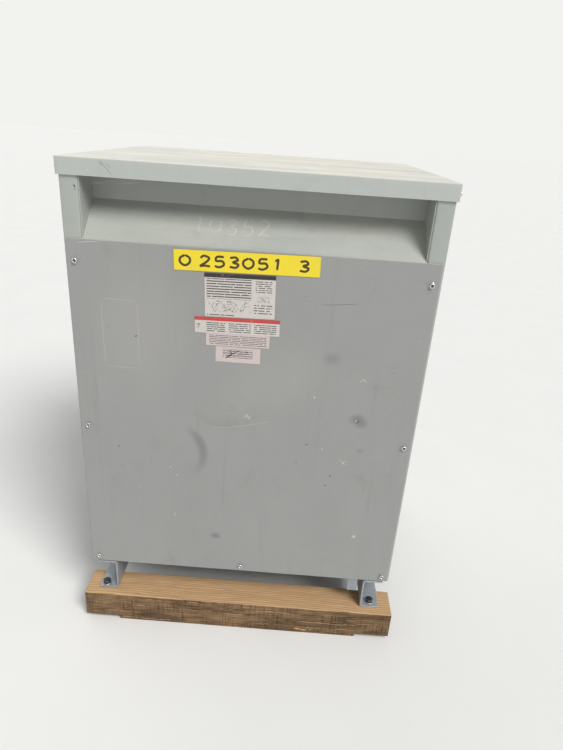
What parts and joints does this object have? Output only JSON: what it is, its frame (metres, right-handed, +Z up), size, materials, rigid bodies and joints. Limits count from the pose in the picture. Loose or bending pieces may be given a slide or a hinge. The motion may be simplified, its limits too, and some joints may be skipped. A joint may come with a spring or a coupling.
{
  "type": "ventilated dry-type power transformer on a timber skid",
  "caption": "Floor-standing ventilated three-phase dry-type power transformer in a folded grey sheet cabinet with bolted feet on a timber skid.",
  "frame": {"origin": "on the floor, under the middle of the cabinet and of the skid", "axes": "+Z up; the front cover faces -Y; +X is to the right as seen from the front"},
  "size_m": [0.852, 0.745, 1.221],
  "materials": {
    "grey_paint": "light grey enamel, satin",
    "cover_paint": "grey enamel, satin, smudged",
    "zinc_plate": "zinc-plated steel, dull",
    "core_steel": "varnished core laminations",
    "clamp_paint": "dark grey enamel",
    "coil_varnish": "brown varnished windings",
    "insulating_board": "brown insulating board",
    "black_rubber": "matte black rubber",
    "rough_timber": "rough sawn, weathered"
  },
  "bodies": {
    "root": {"lid": "grey_paint", "side_panel_left": "grey_paint", "side_panel_right": "grey_paint", "front_cover": "cover_paint", "rear_cover": "cover_paint", "front_deflector": "grey_paint", "rear_deflector": "grey_paint", "front_sill": "grey_paint", "rear_sill": "grey_paint", "hanging_tab": "zinc_plate", "base_rail_left": "zinc_plate", "base_rail_right": "zinc_plate", "skid_beam_front": "rough_timber", "skid_beam_rear": "rough_timber", "core": "core_steel", "lower_clamp_front": "clamp_paint", "lower_clamp_rear": "clamp_paint", "upper_clamp_front": "clamp_paint", "upper_clamp_rear": "clamp_paint", "pad_front_left": "black_rubber", "pad_front_right": "black_rubber", "pad_rear_left": "black_rubber", "pad_rear_right": "black_rubber", "coil_left": "coil_varnish", "coil_middle": "coil_varnish", "coil_right": "coil_varnish", "coil_block_left_front": "insulating_board", "coil_block_left_rear": "insulating_board", "coil_block_middle_front": "insulating_board", "coil_block_middle_rear": "insulating_board", "coil_block_right_front": "insulating_board", "coil_block_right_rear": "insulating_board"}
  },
  "joints": []
}
